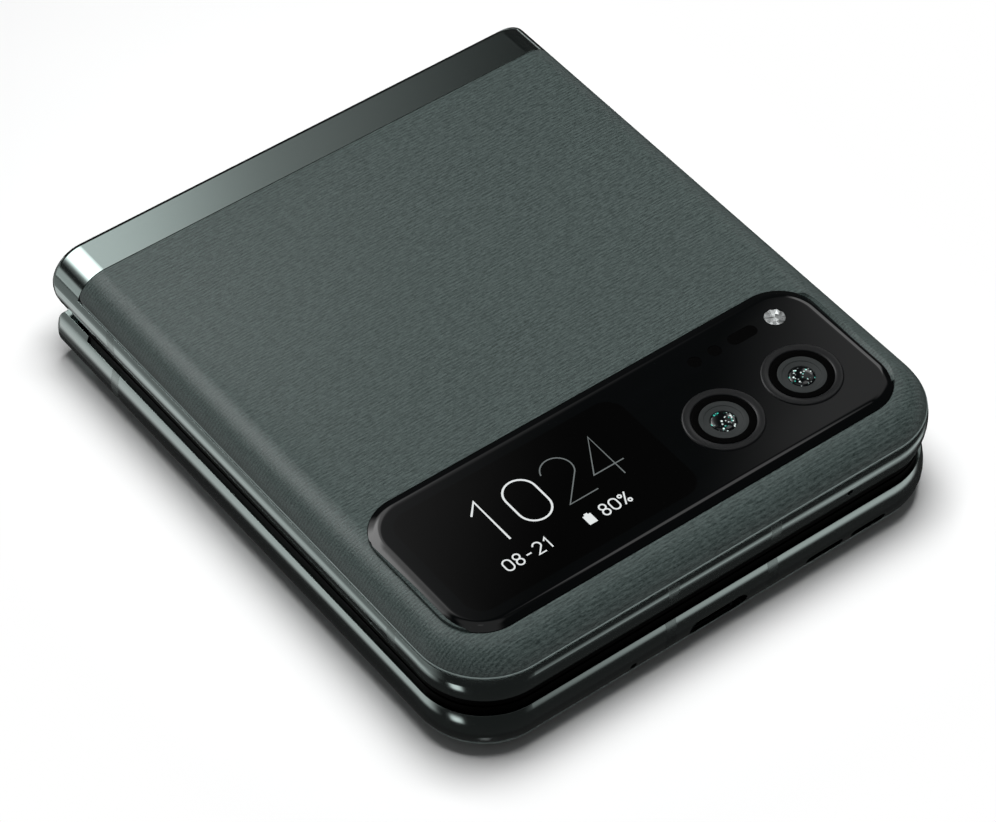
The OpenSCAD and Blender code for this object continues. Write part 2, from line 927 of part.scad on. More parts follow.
// Card tray: a lip that fills its slot and a frame that holds the card
module sim_tray() {
  color("slategray") upper() {
    difference() {
      intersection() {
        block(-body_w / 2 - beyond, tray_lip_x, tray_y[0], tray_y[1], tray_w[0], tray_w[1]);
        sweep(seam_y) side_outline(wall_u, metal_w, flip_lip_w);
      }
      rod_x(eject_y, (tray_w[0] + tray_w[1]) / 2, eject_r, -body_w / 2 - beyond, tray_lip_x + eps);
    }
    difference() {
      block(tray_lip_x - eps, tray_end_x, tray_y[0] + 0.1, tray_y[1] - 0.1, tray_w[0] + 0.1,
        tray_w[1] - 0.1);
      block(tray_lip_x - beyond, -bay_x + 0.5, eject_y - 0.6, eject_y + 0.6, 0, bay_w);
      block(card_x[0], card_x[1], card_y[0], card_y[1], card_w, bay_w);
    }
  }
}

module key_contacts() {
  color("gold") upper() for (y = [power_y, volume_y]) {
    block(bay_x - contact_t, bay_x, y[0] - 1, y[1] + 1, floor_w, flip_lip_w - 0.05);
  }
}

module power_key() {
  color("slategray") upper() key(power_y);
}

module volume_key() {
  color("slategray") upper() key(volume_y);
}

base_frame();
base_antenna_bands();
base_leather();
base_back_cover();
base_battery();
charging_coil();
base_bezel();
base_display();
base_display_plate();
sub_board();
usb_shell();
usb_tongue();
loudspeaker();
speaker_mesh();
vibration_motor();
base_microphone();
base_screws();
base_magnets();
base_hinge_arms();
hinge_spine();
hinge_housings();
hinge_pins();
hinge_springs();
cam_sliders();
display_fold();
flip_frame();
flip_antenna_bands();
flip_leather();
flip_back_cover();
flip_battery();
flip_bezel();
flip_display();
flip_display_plate();
flip_hinge_arms();
main_board();
board_shields();
flip_screws();
flip_magnets();
tray_holder();
sim_tray();
glass_seat();
cover_glass();
cover_display();
main_camera();
wide_camera();
main_camera_ring();
wide_camera_ring();
main_lens();
wide_lens();
flash_led();
light_sensor();
cover_microphone();
focus_window();
earpiece();
inner_camera();
key_contacts();
power_key();
volume_key();
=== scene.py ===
"""A folding phone, closed: leather, metal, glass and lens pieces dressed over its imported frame."""

import math

import bmesh
import bpy
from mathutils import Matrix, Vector


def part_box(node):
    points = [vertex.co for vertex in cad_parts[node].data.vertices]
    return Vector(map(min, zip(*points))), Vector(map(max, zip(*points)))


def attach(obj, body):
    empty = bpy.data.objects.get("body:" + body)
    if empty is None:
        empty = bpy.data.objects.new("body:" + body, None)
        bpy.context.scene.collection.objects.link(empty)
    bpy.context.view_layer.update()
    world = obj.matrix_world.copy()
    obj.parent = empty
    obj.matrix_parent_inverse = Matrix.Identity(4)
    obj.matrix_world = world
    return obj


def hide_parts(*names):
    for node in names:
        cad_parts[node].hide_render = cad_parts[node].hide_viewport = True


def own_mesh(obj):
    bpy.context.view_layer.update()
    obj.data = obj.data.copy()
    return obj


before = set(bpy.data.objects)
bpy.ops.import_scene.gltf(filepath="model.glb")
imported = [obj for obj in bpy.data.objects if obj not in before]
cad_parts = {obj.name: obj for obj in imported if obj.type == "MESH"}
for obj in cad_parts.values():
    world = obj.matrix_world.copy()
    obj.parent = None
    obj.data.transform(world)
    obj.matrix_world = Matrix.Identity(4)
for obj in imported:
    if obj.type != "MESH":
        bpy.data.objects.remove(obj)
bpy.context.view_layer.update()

# Lengths are in millimetres and become metres where a mesh is made
MM = 0.001
half_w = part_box("flip_frame")[1].x / MM
front_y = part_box("flip_frame")[0].y / MM
end_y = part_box("flip_frame")[1].y / MM
half_t = 7.7
fold_gap = 1.6
corner_r = 9.5
roll_r = 4.3
wide_w = half_t - roll_r
flip_skirt = 3.05
base_skirt = 1.95
leather_t = 0.5
seam_gap = 0.1
band_l = 5.5
seam_y = end_y - band_l
upper_z = half_t + fold_gap
leather_z = upper_z + half_t
glass_low, glass_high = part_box("cover_glass")
glass_w = (glass_high.x - glass_low.x) / MM
glass_l = (glass_high.y - glass_low.y) / MM
glass_y = (glass_high.y + glass_low.y) / 2 / MM
glass_z0 = glass_low.z / MM
glass_z1 = glass_high.z / MM
glass_r = 5.8
lens_y = front_y + 14.2
wide_x = glass_w / 2 - 9.4
main_x = wide_x - 12.1
hole_r = 4.0
ring_r = 5.05
ring_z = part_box("main_camera_ring")[1].z / MM
sensor_y = glass_y + glass_l / 2 - 4.55
flash_x = wide_x + 3.6
flash_r = 1.35
screen_low, screen_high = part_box("cover_display")


# Shader maths
class Wire:
    """An output of a material's node tree. Arithmetic on it adds Math nodes to that tree."""

    def __init__(self, tree, socket=None):
        self.tree = tree
        self.socket = socket

    def node(self, kind, settings=None, values=None, out=0):
        """Adds a node, sets it up, feeds its inputs from numbers or wires, and returns one output."""
        node = self.tree.nodes.new(kind)
        for name, value in (settings or {}).items():
            setattr(node, name, value)
        for name, value in (values or {}).items():
            if isinstance(value, Wire):
                self.tree.links.new(value.socket, node.inputs[name])
            else:
                node.inputs[name].default_value = value
        return Wire(self.tree, node.outputs[out]) if node.outputs else node

    def math(self, operation, first, second=0.0):
        return self.node("ShaderNodeMath", {"operation": operation}, {0: first, 1: second})

    def __add__(self, other):
        return self.math("ADD", self, other)

    __radd__ = __add__

    def __mul__(self, other):
        return self.math("MULTIPLY", self, other)

    __rmul__ = __mul__

    def __sub__(self, other):
        return self.math("SUBTRACT", self, other)

    def __rsub__(self, other):
        return self.math("SUBTRACT", other, self)

    def __pow__(self, other):
        return self.math("POWER", self, other)

    def between(self, low, high):
        """0 below low, 1 above high, with a smooth step."""
        settings = {"interpolation_type": "SMOOTHSTEP", "clamp": True}
        return self.node("ShaderNodeMapRange", settings, {0: self, 1: low, 2: high, 3: 0.0, 4: 1.0})

    def within(self, low, high, soft):
        """1 from low to high, fading to 0 over a soft edge on each side."""
        return self.between(low - soft, low) * (1 - self.between(high, high + soft))

    def mix(self, dark, light):
        """Blends two colours by this value."""
        settings = {"data_type": "RGBA", "clamp_factor": True}
        return self.node("ShaderNodeMix", settings, {0: self, 6: dark, 7: light}, out=2)


def rgb(red, green, blue):
    """A screen colour in 0 to 255 as a linear colour with full alpha."""
    linear = []
    for level in (red, green, blue):
        share = level / 255
        linear.append(share / 12.92 if share <= 0.04045 else ((share + 0.055) / 1.055) ** 2.4)
    return (*linear, 1.0)


def new_surface(name, paint):
    """A material whose paint function returns its shader."""
    material = bpy.data.materials.new(name)
    material.use_nodes = True
    tree = material.node_tree
    tree.nodes.clear()
    start = Wire(tree)
    start.node("ShaderNodeOutputMaterial", values={"Surface": paint(start)})
    return material


def new_material(name, paint):
    """A material whose paint function returns the values of its Principled shader."""
    return new_surface(name, lambda start: start.node("ShaderNodeBsdfPrincipled", values=paint(start)))


def place(start, stretch=(1.0, 1.0, 1.0)):
    """The point in the piece's own frame, in millimetres, stretched along its axes."""
    point = start.node("ShaderNodeTexCoord", out="Object")
    scale = tuple(share / MM for share in stretch)
    return start.node("ShaderNodeVectorMath", {"operation": "MULTIPLY"}, {0: point, 1: scale})


def noise(start, where, scale, detail=2.0, rough=0.5):
    values = {"Vector": where, "Scale": scale, "Detail": detail, "Roughness": rough}
    return start.node("ShaderNodeTexNoise", {}, values)


def bump(start, height, depth, strength=1.0, normal=None):
    """A Normal from a height, with depth in millimetres."""
    values = {"Height": height, "Distance": depth * MM, "Strength": strength}
    if normal:
        values["Normal"] = normal
    return start.node("ShaderNodeBump", {}, values)


def paint_leather(start):
    """Fine wavy ridges across the phone, broken up by finer creases."""
    lines = {"wave_type": "BANDS", "bands_direction": "Y", "wave_profile": "SIN"}
    waviness = {"Scale": 0.7, "Distortion": 4.5, "Detail": 2.0, "Detail Scale": 0.9}
    drawn_out = place(start, (0.3, 1.0, 1.0))
    ridges = start.node("ShaderNodeTexWave", lines, {"Vector": drawn_out, **waviness})
    ridges = start.node("ShaderNodeRGBToBW", values={0: ridges})
    fibres = noise(start, place(start, (1.1, 6.4, 6.4)), 1.0, 1.0, 0.5).between(0.34, 0.66)
    creases = noise(start, place(start, (3.2, 11.0, 11.0)), 1.0, 1.0, 0.5).between(0.34, 0.66)
    grain = ridges * 0.3 + fibres * 0.38 + creases * 0.32
    return {
        "Base Color": grain.mix(rgb(31, 39, 38), rgb(77, 88, 86)),
        "Roughness": 0.34 + grain * 0.12,
        "Specular IOR Level": 0.5,
        "Normal": bump(start, grain, 0.04, 0.35),
    }


def wall_crown(start):
    """Height in millimetres of the crown of the metal walls and of their rounded hinge end."""
    # Where the crown of each half has its crest, from the gap, and how steeply it falls away
    upper_middle = 0.2 * wide_w
    lower_middle = -0.2 * wide_w
    upper_steep = 0.02
    lower_steep = 0.04
    end_round = 0.45
    end_steep = 0.8
    point = place(start)
    y = start.node("ShaderNodeSeparateXYZ", values={0: point}, out="Y")
    above = start.node("ShaderNodeSeparateXYZ", values={0: point}, out="Z") - (half_t + fold_gap / 2)
    depth = start.math("ABSOLUTE", above) - fold_gap / 2
    lower_half = start.math("LESS_THAN", above, 0.0)
    middle = lower_half * (lower_middle - upper_middle) + upper_middle
    steep = lower_half * (lower_steep - upper_steep) + upper_steep
    off_middle = start.math("MINIMUM", depth, wide_w) - middle
    past_wall = start.math("MAXIMUM", depth - wide_w, 0.0)
    crown = (off_middle * off_middle + past_wall * (wide_w - middle) * 2) * steep
    near_end = start.math("MAXIMUM", start.math("MINIMUM", y - (end_y - end_round), end_round), 0.0)
    return crown * -1 - near_end * near_end * end_steep


def metal_paint(colour, rough, edge_r=0.05):
    """Blasted metal with softened edges and the crown of the walls."""

    def paint(start):
        blasting = noise(start, place(start), 7.0, 2.0)
        cloud = noise(start, place(start), 0.05)
        rounded = start.node("ShaderNodeBevel", {"samples": 10}, {"Radius": edge_r * MM})
        dark = tuple(0.88 * level for level in colour[:3]) + (1.0,)
        return {
            "Base Color": (blasting * 0.6 + cloud * 0.4).mix(dark, colour),
            "Metallic": 1.0,
            "Roughness": rough - 0.01 + blasting * 0.02,
            "Normal": bump(start, wall_crown(start), 1.0, 1.0, rounded),
        }

    return paint


def plastic_paint(colour, rough=0.45, grain=6.0, depth=0.01):
    """Moulded plastic, coating or foil with a fine speckle."""

    def paint(start):
        speckle = noise(start, place(start), grain, 2.0)
        dark = tuple(0.8 * level for level in colour[:3]) + (1.0,)
        return {
            "Base Color": speckle.mix(dark, colour),
            "Roughness": rough - 0.04 + speckle * 0.08,
            "Normal": bump(start, speckle, depth, 0.3),
        }

    return paint


def paint_matt_black(start):
    """Matt black that hardly shines."""
    speckle = noise(start, place(start), 5.0)
    return {
        "Base Color": speckle.mix(rgb(1, 1, 1), rgb(3, 3, 3)),
        "Roughness": 0.55 + speckle * 0.1,
        "Specular IOR Level": 0.03,
    }


def gloss_paint(colour, rough=0.06, smear=0.03):
    """Glass, lacquer or film with the faint smears that handling leaves."""

    def paint(start):
        smears = noise(start, place(start, (0.12, 0.3, 0.3)), 1.0, 3.0)
        dark = tuple(0.7 * level for level in colour[:3]) + (1.0,)
        return {
            "Base Color": smears.mix(dark, colour),
            "Roughness": rough + smears * smear,
            "IOR": 1.5,
            "Coat Weight": 0.0,
        }

    return paint


def paint_glass(start):
    """Black glass: a printed border round a screen window that is blacker still."""
    point = place(start)
    x = start.node("ShaderNodeSeparateXYZ", values={0: point}, out="X")
    y = start.node("ShaderNodeSeparateXYZ", values={0: point}, out="Y")
    screen_r = 2.6
    middle = (screen_low + screen_high) / 2 / MM
    reach = (screen_high - screen_low) / 2 / MM
    past_x = start.math("ABSOLUTE", x - middle.x) - (reach.x - screen_r)
    past_y = start.math("ABSOLUTE", y - middle.y) - (reach.y - screen_r)
    past_x = start.math("MAXIMUM", past_x, 0.0)
    past_y = start.math("MAXIMUM", past_y, 0.0)
    past_corner = (past_x * past_x + past_y * past_y) ** 0.5
    border = past_corner.between(screen_r - 0.08, screen_r + 0.12)
    smears = noise(start, place(start, (0.12, 0.3, 0.3)), 1.0, 3.0)
    printed = smears.mix(rgb(2, 3, 3), rgb(4, 5, 6))
    return {
        "Base Color": border.mix(rgb(1, 1, 1), printed),
        "Roughness": 0.035 + smears * 0.02,
        "IOR": 1.5,
    }


def glow_paint(colour, strength):
    """The lit dots of a display, slightly uneven."""

    def paint(start):
        flicker = noise(start, place(start), 2.0)
        dim = tuple(0.92 * level for level in colour[:3]) + (1.0,)
        return {
            "Base Color": rgb(4, 4, 4),
            "Roughness": 0.3,
            "Emission Color": flicker.mix(dim, colour),
            "Emission Strength": strength,
        }

    return paint


def paint_copper(start):
    """The turns of a flat coil, as rings about its middle."""
    point = place(start)
    coil_y = sum(corner.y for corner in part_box("charging_coil")) / 2 / MM
    centre = {"operation": "SUBTRACT"}
    offset = start.node("ShaderNodeVectorMath", centre, {0: point, 1: (0.0, coil_y, 0.0)})
    settings = {"wave_type": "RINGS", "rings_direction": "Z", "wave_profile": "SIN"}
    turns = start.node("ShaderNodeTexWave", settings, {"Vector": offset, "Scale": 0.62})
    turns = start.node("ShaderNodeRGBToBW", values={0: turns})
    return {
        "Base Color": turns.mix(rgb(70, 34, 16), rgb(214, 124, 74)),
        "Metallic": 1.0,
        "Roughness": 0.5 - turns * 0.2,
        "Normal": bump(start, turns, 0.1, 0.6),
    }


def paint_board(start):
    """Green lacquer with gold pads and tracks left bare."""
    cells = {"feature": "F1", "distance": "MANHATTAN"}
    pads = start.node("ShaderNodeTexVoronoi", cells, {"Vector": place(start), "Scale": 0.55})
    tracks = start.node("ShaderNodeTexVoronoi", cells, {"Vector": place(start), "Scale": 1.6})
    lacquer = pads.between(0.16, 0.2) * tracks.between(0.2, 0.3)
    return {
        "Base Color": lacquer.mix(rgb(196, 160, 84), rgb(18, 66, 46)),
        "Roughness": 0.35 + lacquer * 0.1,
        "Metallic": 1.0 - lacquer,
        "Normal": bump(start, lacquer, 0.03, 0.5),
    }


def paint_mesh_cloth(start):
    """Dark woven mesh with rows of round holes that are not cut: painted shade, near black, stands for
    the dark seen through them.
    """
    settings = {"feature": "F1", "distance": "EUCLIDEAN"}
    values = {"Vector": place(start), "Scale": 3.0, "Randomness": 0.0}
    holes = start.node("ShaderNodeTexVoronoi", settings, values)
    solid = holes.between(0.3, 0.42)
    return {
        # The holes are painted shade: near black where light doesn't reach through
        "Base Color": solid.mix(rgb(4, 5, 5), rgb(48, 53, 52)),
        "Roughness": 0.5,
        "Metallic": solid * 0.8,
        "Normal": bump(start, solid, 0.06, 0.7),
    }


def paint_lens(start):
    """Coated lens: near black, with small teal and white glints painted into its colour and made to
    glow, standing in for reflections of the elements below.
    """
    settings = {"feature": "F1", "distance": "EUCLIDEAN"}
    values = {"Vector": place(start), "Scale": 2.5}
    glint_cells = start.node("ShaderNodeTexVoronoi", settings, values)
    tint = noise(start, place(start), 1.6)
    # Painted glints: teal and white specks in the colour, standing in for reflections
    painted_glint = (1.0 - glint_cells.between(0.2, 0.42)) * noise(start, place(start), 1.4).between(0.42, 0.55)
    colour = tint.between(0.42, 0.5).mix(rgb(52, 190, 172), rgb(214, 226, 224))
    base_with_painted_glints = painted_glint.mix(rgb(5, 7, 8), colour)
    return {
        "Base Color": base_with_painted_glints,
        "Roughness": 0.04 + painted_glint * 0.05,
        "IOR": 1.6,
        # The painted glints glow a little, though the lens gives no light
        "Emission Color": painted_glint.mix(rgb(0, 0, 0), colour),
        "Emission Strength": 0.25,
    }


steel_grey = rgb(150, 156, 156)
paints = {
    "frame_metal": metal_paint(rgb(150, 163, 160), 0.13),
    "spine_metal": metal_paint(rgb(124, 135, 132), 0.26),
    "break_plastic": metal_paint(rgb(136, 148, 145), 0.24),
    "leather": paint_leather,
    # Cut edge of the leather: its own paler colour, lightened further into a painted highlight line
    "leather_edge_and_highlight": plastic_paint(rgb(118, 130, 128), 0.3),
    "shell_plastic": plastic_paint(rgb(24, 26, 26)),
    "soft_rim": paint_matt_black,
    "inner_screen": gloss_paint(rgb(8, 9, 10), 0.1),
    "bent_screen": gloss_paint(rgb(9, 10, 11), 0.14),
    "backing_steel": metal_paint(steel_grey, 0.4),
    "battery_foil": plastic_paint(rgb(96, 98, 100), 0.4, 0.6, 0.1),
    "copper": paint_copper,
    "board": paint_board,
    "steel": metal_paint(steel_grey, 0.3),
    "magnet": metal_paint(rgb(120, 122, 124), 0.32),
    "module_plastic": plastic_paint(rgb(34, 35, 36), 0.5),
    "contact_gold": metal_paint(rgb(226, 184, 96), 0.3),
    "black_glass": paint_glass,
    "dark_window": paint_matt_black,
    "screen_black": gloss_paint(rgb(1, 1, 1), 0.05, 0.02),
    "ring_metal": gloss_paint(rgb(13, 14, 15), 0.35),
    "lens_cone": plastic_paint(rgb(36, 39, 39), 0.5),
    # Front lens with painted, glowing glints
    "lens_painted_glints": paint_lens,
    "flash_mirror": metal_paint(rgb(222, 226, 226), 0.3, 0.01),
    "mesh_cloth": paint_mesh_cloth,
    "bright_figures": glow_paint(rgb(236, 240, 240), 0.95),
    "dim_figures": glow_paint(rgb(112, 118, 118), 0.9),
}
materials = {name: new_material(name, paint) for name, paint in paints.items()}

node_finish = {
    "frame_metal": ["base_frame", "flip_frame", "sim_tray", "power_key", "volume_key"],
    "spine_metal": ["hinge_spine"],
    "break_plastic": ["base_antenna_bands", "flip_antenna_bands"],
    "shell_plastic": ["base_back_cover", "flip_back_cover", "glass_seat", "usb_tongue"],
    "soft_rim": ["base_bezel", "flip_bezel"],
    "inner_screen": ["base_display", "flip_display"],
    "backing_steel": ["base_display_plate", "flip_display_plate"],
    "battery_foil": ["base_battery", "flip_battery"],
    "copper": ["charging_coil"],
    "board": ["sub_board", "main_board"],
    "steel": ["usb_shell", "base_screws", "flip_screws", "hinge_pins", "hinge_springs",
              "base_hinge_arms", "flip_hinge_arms", "board_shields", "tray_holder",
              "vibration_motor", "hinge_housings"],
    "magnet": ["base_magnets", "flip_magnets"],
    "module_plastic": ["loudspeaker", "earpiece", "main_camera", "wide_camera"],
    "contact_gold": ["key_contacts", "base_microphone", "cam_sliders"],
    "dark_window": ["light_sensor", "cover_microphone", "focus_window"],
    "screen_black": ["cover_display"],
    "mesh_cloth": ["speaker_mesh"],
    "lens_painted_glints": ["inner_camera"],
}

for finish, members in node_finish.items():
    for member in members:
        node_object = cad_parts[member]
        node_object.data.materials.clear()
        node_object.data.materials.append(materials[finish])


# Meshes
def make_piece(name, mesh, finish, body, smooth=True):
    """Turns a bmesh in millimetres into a piece that rides on a body."""
    bmesh.ops.remove_doubles(mesh, verts=mesh.verts, dist=0.0005)
    bmesh.ops.recalc_face_normals(mesh, faces=mesh.faces)
    bmesh.ops.scale(mesh, vec=(MM, MM, MM), verts=mesh.verts)
    data = bpy.data.meshes.new(name)
    mesh.to_mesh(data)
    mesh.free()
    data.polygons.foreach_set("use_smooth", [smooth] * len(data.polygons))
    data.materials.append(materials[finish])
    piece = bpy.data.objects.new(name, data)
    bpy.context.scene.collection.objects.link(piece)
    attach(piece, body)
    return piece


def add_loop(mesh, points):
    return [mesh.verts.new(point) for point in points]


def join_loops(mesh, first, second, closed=True):
    """Faces between two loops with the same number of points."""
    count = len(first)
    for index in range(count if closed else count - 1):
        after = (index + 1) % count
        mesh.faces.new((first[index], first[after], second[after], second[index]))


def fill_between(mesh, loops):
    """Fills a flat region from its outer loop and its holes."""
    edges = []
    for loop in loops:
        for index, vertex in enumerate(loop):
            other = loop[(index + 1) % len(loop)]
            edge = mesh.edges.get((vertex, other)) or mesh.edges.new((vertex, other))
            edges.append(edge)
    bmesh.ops.triangle_fill(mesh, use_beauty=True, use_dissolve=False, edges=edges)


def arc(centre_x, centre_y, radius, start, stop, steps):
    """Points on an arc, angles in degrees."""
    points = []
    for step in range(steps + 1):
        angle = math.radians(start + (stop - start) * step / steps)
        points.append((centre_x + radius * math.cos(angle), centre_y + radius * math.sin(angle)))
    return points


def rounded_plan(width, length, radius, steps=12):
    """A rounded rectangle about the glass centre, anticlockwise."""
    points = []
    for sign_x, sign_y, start in ((1, 1, 0), (-1, 1, 90), (-1, -1, 180), (1, -1, 270)):
        corner_x = sign_x * (width / 2 - radius)
        corner_y = glass_y + sign_y * (length / 2 - radius)
        points += arc(corner_x, corner_y, radius, start, start + 90, steps)
    return points


def half_outline(inset, back_y, steps=20):
    """A half's outline drawn in by inset: from its left hinge end round the front to its right."""
    radius = corner_r - inset
    corner_y = front_y + corner_r
    left = arc(-half_w + corner_r, corner_y, radius, 180, 270, steps)
    right = arc(half_w - corner_r, corner_y, radius, 270, 360, steps)
    return [(-half_w + inset, back_y), *left, *right, (half_w - inset, back_y)]


def lathe(mesh, centre_x, centre_y, profile, segments=64):
    """Turns a profile of radius and height about an upright axis."""
    loops = []
    for radius, height in profile:
        circle = arc(centre_x, centre_y, max(radius, 1e-4), 0, 360, segments)[:-1]
        loops.append(add_loop(mesh, [(x, y, height) for x, y in circle]))
    for first, second in zip(loops, loops[1:]):
        join_loops(mesh, first, second)


# Leather
def leather_sheet(name, node, body, skirt, turn_z, window):
    """The leather of one half: it wraps the rolled edge and lies flat inside it."""
    mesh = bmesh.new()
    lip_angle = math.asin((roll_r - skirt) / roll_r) + lip_gap / roll_r
    wrap_steps = 18
    corner = 0.9
    loops = []
    for step in range(wrap_steps + 1):
        angle = lip_angle + (math.pi / 2 - lip_angle) * step / wrap_steps
        inset = roll_r * (1 - math.cos(angle))
        depth = wide_w + roll_r * math.sin(angle)
        run = roll_r * (angle - lip_angle)
        cut = corner - math.sqrt(max(corner**2 - max(corner - run, 0) ** 2, 0))
        back_y = seam_y - seam_gap - cut
        outline = half_outline(inset, back_y)
        loops.append(add_loop(mesh, [(x, y, turn_z(depth)) for x, y in outline]))
    for first, second in zip(loops, loops[1:]):
        join_loops(mesh, first, second, closed=False)
    holes = [loops[-1]]
    if window:
        plan = rounded_plan(glass_w + 0.2, glass_l + 0.2, glass_r + 0.1)
        holes.append(add_loop(mesh, [(x, y, turn_z(half_t)) for x, y in plan]))
    fill_between(mesh, holes)
    piece = make_piece(name, mesh, "leather", body)
    thick = piece.modifiers.new("thickness", "SOLIDIFY")
    thick.thickness = (leather_t - 0.02) * MM
    thick.offset = -1
    edge = piece.modifiers.new("soft_edge", "BEVEL")
    edge.width = 0.12 * MM
    edge.segments = 3
    edge.limit_method = "ANGLE"
    edge.angle_limit = math.radians(50)
    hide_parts(node)


def leather_lip(name, body, skirt, turn_z):
    """The pale rounded edge where the leather is cut, just above the metal. Its pale colour is partly
    the cut edge's own and partly a painted highlight along it.
    """
    bead_r = 0.15
    angle = math.asin((roll_r - skirt) / roll_r) + lip_gap / roll_r
    inset = roll_r * (1 - math.cos(angle)) + 0.6 * bead_r
    height = turn_z(wide_w + roll_r * math.sin(angle))
    back_y = seam_y - seam_gap - 1.0
    sides = 8
    mesh = bmesh.new()
    rounds = []
    for turn in range(sides):
        around = 2 * math.pi * turn / sides
        path = half_outline(inset + bead_r * math.cos(around), back_y, 24)
        lift = bead_r * math.sin(around)
        rounds.append(add_loop(mesh, [(x, y, height + lift) for x, y in path]))
    for first, second in zip(rounds, rounds[1:] + rounds[:1]):
        join_loops(mesh, first, second, closed=False)
    for end in (0, -1):
        mesh.faces.new([loop[end] for loop in rounds])
    make_piece(name, mesh, "leather_edge_and_highlight", body)


lip_gap = 0.2
leather_sheet("flip_leather_wrap", "flip_leather", "flip", flip_skirt, lambda w: upper_z + w, True)
leather_sheet("base_leather_wrap", "base_leather", "base", base_skirt, lambda w: half_t - w, False)
leather_lip("flip_leather_lip", "flip", flip_skirt, lambda w: upper_z + w)
leather_lip("base_leather_lip", "base", base_skirt, lambda w: half_t - w)


# Cover glass
def glass_window():
    """Black glass with a rounded shoulder and openings for the lenses and sensors."""
    mesh = bmesh.new()
    chamfer = 1.1
    blend = 0.5
    wall_z = leather_z + 0.04
    rise = glass_z1 - wall_z
    sections = [(0.0, glass_z0), (0.0, wall_z)]
    steps = 12
    for step in range(steps + 1):
        share = step / steps
        inset = chamfer - blend + 2 * blend * share
        sections.append((inset, glass_z1 - rise * blend / chamfer * (1 - share) ** 2))
    loops = []
    for inset, height in sections:
        plan = rounded_plan(glass_w - 2 * inset, glass_l - 2 * inset, glass_r - inset, 16)
        loops.append(add_loop(mesh, [(x, y, height) for x, y in plan]))
    for first, second in zip(loops, loops[1:]):
        join_loops(mesh, first, second)
    openings = [(main_x, lens_y, hole_r), (wide_x, lens_y, hole_r), (flash_x, sensor_y, flash_r)]
    plans = [arc(x, y, radius, 0, 360, 48)[:-1] for x, y, radius in openings]
    plans += [plan for _, _, plan in sensor_windows]
    tops = [add_loop(mesh, [(x, y, glass_z1) for x, y in plan]) for plan in plans]
    floors = [add_loop(mesh, [(x, y, glass_z0) for x, y in plan]) for plan in plans]
    for top, floor in zip(tops, floors):
        join_loops(mesh, top, floor)
    fill_between(mesh, [loops[-1], *tops])
    fill_between(mesh, [loops[0], *floors])
    piece = make_piece("cover_glass_window", mesh, "black_glass", "flip")
    piece.data.set_sharp_from_angle(angle=math.radians(40))
    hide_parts("cover_glass")


def sensor_window(name, node, plan):
    """A matt black window set just below the face of the glass."""
    mesh = bmesh.new()
    top = add_loop(mesh, [(x, y, glass_z1 - 0.04) for x, y in plan])
    floor = add_loop(mesh, [(x, y, glass_z0) for x, y in plan])
    join_loops(mesh, top, floor)
    mesh.faces.new(top)
    mesh.faces.new(floor)
    piece = make_piece(name, mesh, "dark_window", "flip", smooth=False)
    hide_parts(node)


dot_r = 0.88
light_x = wide_x - 8.9
microphone_x = wide_x - 5.8
pill_x = wide_x - 1.5
pill_reach = 1.25
sensor_windows = [
    ("light_sensor_window", "light_sensor", arc(light_x, sensor_y, dot_r, 0, 360, 32)[:-1]),
    ("microphone_window", "cover_microphone", arc(microphone_x, sensor_y, dot_r, 0, 360, 32)[:-1]),
    ("focus_sensor_window", "focus_window",
     arc(pill_x + pill_reach, sensor_y, dot_r, -90, 90, 16)
     + arc(pill_x - pill_reach, sensor_y, dot_r, 90, 270, 16)),
]
glass_window()
for window_name, window_node, window_plan in sensor_windows:
    sensor_window(window_name, window_node, window_plan)


def turned_piece(name, centre_x, profile, finish, node=None, sharp=None, segments=64):
    """A turned piece of a camera. It may take the place of a node, and creases past an angle."""
    mesh = bmesh.new()
    lathe(mesh, centre_x, lens_y, profile, segments)
    piece = make_piece(name, mesh, finish, "flip")
    if sharp:
        piece.data.set_sharp_from_angle(angle=math.radians(sharp))
    if node:
        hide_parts(node)


